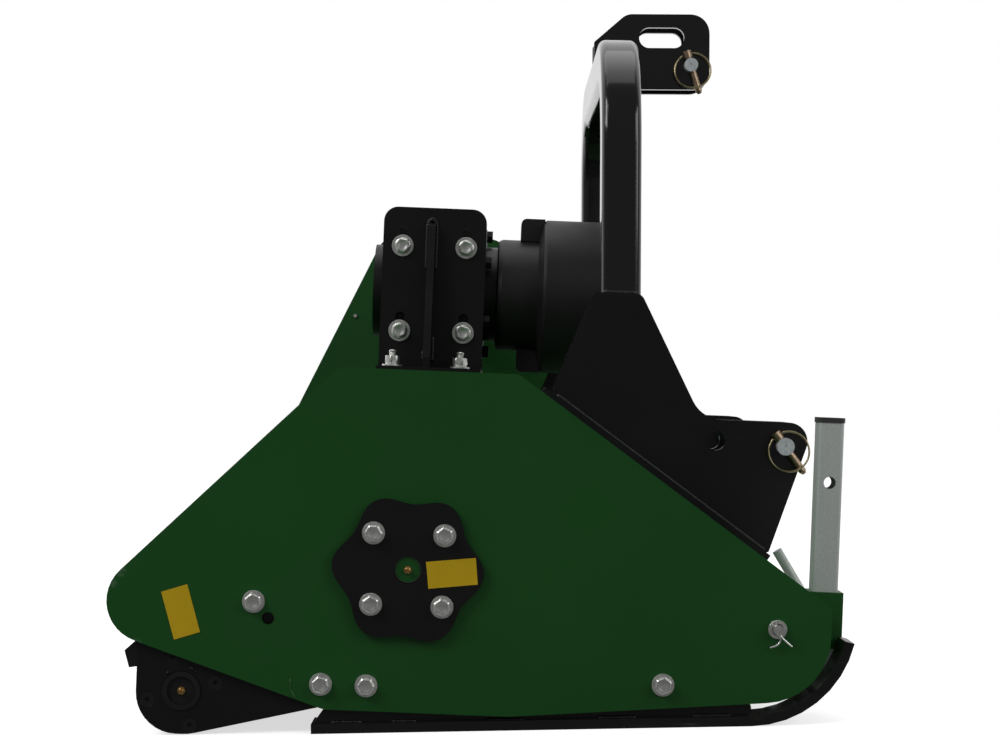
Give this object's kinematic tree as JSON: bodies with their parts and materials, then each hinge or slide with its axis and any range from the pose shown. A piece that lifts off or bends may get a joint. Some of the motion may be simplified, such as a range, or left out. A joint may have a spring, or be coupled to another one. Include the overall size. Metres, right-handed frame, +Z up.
{
  "type": "tractor flail mulcher",
  "caption": "Flail mulcher for a small tractor's three-point hitch, with gearbox, belt drive, flail rotor, rear roller, skids, hitch mast and parking stand.",
  "frame": {"origin": "on the floor, under the middle of the machine's overall box", "axes": "+X to the machine's right-hand side, +Y forward towards the hitch, +Z up"},
  "size_m": [1.419, 0.8661, 0.9224],
  "materials": {
    "green_paint": "semi-gloss powder coat",
    "black_paint": "semi-gloss powder coat",
    "zinc_plate": "bright zinc plate",
    "galvanised": "dull galvanised",
    "yellow_zinc": "yellow zinc plate",
    "bare_steel": "machined",
    "black_rubber": "matt",
    "black_plastic": "matt"
  },
  "bodies": {
    "frame": {"side_plate_right": "green_paint", "side_plate_left": "green_paint", "hood_shell": "green_paint", "counter_blade": "black_paint", "rear_flap": "black_rubber", "hitch_base_plates": "black_paint", "hitch_cheeks_right": "black_paint", "hitch_cheeks_left": "black_paint", "mast_hoop": "black_paint", "top_link_plates": "black_paint", "gearbox_base_plate": "black_paint", "gearbox_bracket_right": "black_paint", "gearbox_bracket_left": "black_paint", "gearbox_housing": "black_paint", "gearbox_rear_cover": "black_paint", "gearbox_front_neck": "black_paint", "gearbox_bearings": "bare_steel", "gearbox_screws": "black_paint", "shaft_tube": "black_paint", "pto_guard": "black_plastic", "belt_cover": "green_paint", "cover_screws": "zinc_plate", "drive_belts": "black_rubber", "rotor_hub_right": "black_paint", "rotor_hub_left": "black_paint", "rotor_bearings": "bare_steel", "skid_right": "black_paint", "skid_left": "black_paint", "stand_socket": "green_paint", "stand_tube": "galvanised", "stand_cap": "black_plastic", "front_flap_rod": "zinc_plate", "flap_rod_keepers": "zinc_plate", "flange_bolts": "zinc_plate", "bracket_bolts": "zinc_plate", "hitch_pins": "zinc_plate", "linchpins": "yellow_zinc"},
    "rotor": {"rotor_tube": "black_paint", "flail_lugs": "black_paint", "rotor_stub_shafts": "bare_steel", "rotor_pulley": "bare_steel", "flail_bolts": "zinc_plate"},
    "flails_1": {"flails_row_1": "bare_steel"},
    "flails_2": {"flails_row_2": "bare_steel"},
    "flails_3": {"flails_row_3": "bare_steel"},
    "flails_4": {"flails_row_4": "bare_steel"},
    "cross_drive": {"cross_shaft": "bare_steel", "drive_pulley": "bare_steel", "bevel_pinion": "bare_steel"},
    "input_drive": {"pto_shaft": "bare_steel", "crown_gear": "bare_steel"},
    "roller_frame": {"roller_arms": "black_paint", "scraper_bar": "black_paint", "roller_bearings": "black_paint"},
    "roller": {"roller_drum": "black_paint"},
    "flaps": {"front_flaps": "black_paint"},
    "stand_pin": {"stand_locking_pin": "galvanised"},
    "ring_right": {"linchpin_ring_right": "yellow_zinc"},
    "ring_left": {"linchpin_ring_left": "yellow_zinc"},
    "ring_top": {"linchpin_ring_top": "yellow_zinc"}
  },
  "joints": [
    {"name": "rotor_spin", "type": "hinge", "parent": "frame", "child": "rotor", "pos_m": [0.0405, -0.08374, 0.187], "axis": [1, 0, 0], "continuous": true},
    {"name": "flail_swing_1", "type": "hinge", "parent": "rotor", "child": "flails_1", "pos_m": [0.0405, -0.02717, 0.24357], "axis": [1, 0, 0], "range_deg": [-1, 270]},
    {"name": "flail_swing_2", "type": "hinge", "parent": "rotor", "child": "flails_2", "pos_m": [0.0405, -0.14031, 0.24357], "axis": [1, 0, 0], "range_deg": [-270, 1]},
    {"name": "flail_swing_3", "type": "hinge", "parent": "rotor", "child": "flails_3", "pos_m": [0.0405, -0.14031, 0.13043], "axis": [1, 0, 0], "range_deg": [-181, 91]},
    {"name": "flail_swing_4", "type": "hinge", "parent": "rotor", "child": "flails_4", "pos_m": [0.0405, -0.02717, 0.13043], "axis": [1, 0, 0], "range_deg": [-91, 181]},
    {"name": "cross_shaft_spin", "type": "hinge", "parent": "frame", "child": "cross_drive", "pos_m": [0.0405, -0.06377, 0.53343], "axis": [1, 0, 0], "continuous": true},
    {"name": "input_shaft_spin", "type": "hinge", "parent": "frame", "child": "input_drive", "pos_m": [0.0405, -0.06377, 0.53343], "axis": [0, 0.9983, -0.0576], "continuous": true},
    {"name": "roller_height", "type": "hinge", "parent": "frame", "child": "roller_frame", "pos_m": [0.0405, -0.18672, 0.05661], "axis": [1, 0, 0], "range_deg": [0, 12]},
    {"name": "roller_spin", "type": "hinge", "parent": "roller_frame", "child": "roller", "pos_m": [0.0405, -0.34851, 0.051], "axis": [1, 0, 0], "continuous": true},
    {"name": "front_flap_swing", "type": "hinge", "parent": "frame", "child": "flaps", "pos_m": [0.0405, 0.34105, 0.11042], "axis": [1, 0, 0], "range_deg": [-80, 18]},
    {"name": "stand_pin_slide", "type": "slide", "parent": "frame", "child": "stand_pin", "axis": [-1, 0, 0], "range_m": [0, 0.049]},
    {"name": "ring_right_swing", "type": "hinge", "parent": "frame", "child": "ring_right", "pos_m": [0.43225, 0.37608, 0.32761], "axis": [0, -0.8221, -0.5693], "range_deg": [0, 160]},
    {"name": "ring_left_swing", "type": "hinge", "parent": "frame", "child": "ring_left", "pos_m": [-0.35125, 0.37608, 0.32761], "axis": [0, 0.8221, 0.5693], "range_deg": [0, 160]},
    {"name": "ring_top_swing", "type": "hinge", "parent": "frame", "child": "ring_top", "pos_m": [0.07725, 0.30097, 0.86254], "axis": [0, -0.9598, -0.2807], "range_deg": [0, 160]}
  ],
  "couplings": [
    {"joint": "cross_shaft_spin", "follows": "rotor_spin", "ratio": 0.8},
    {"joint": "input_shaft_spin", "follows": "rotor_spin", "ratio": 0.31429}
  ]
}
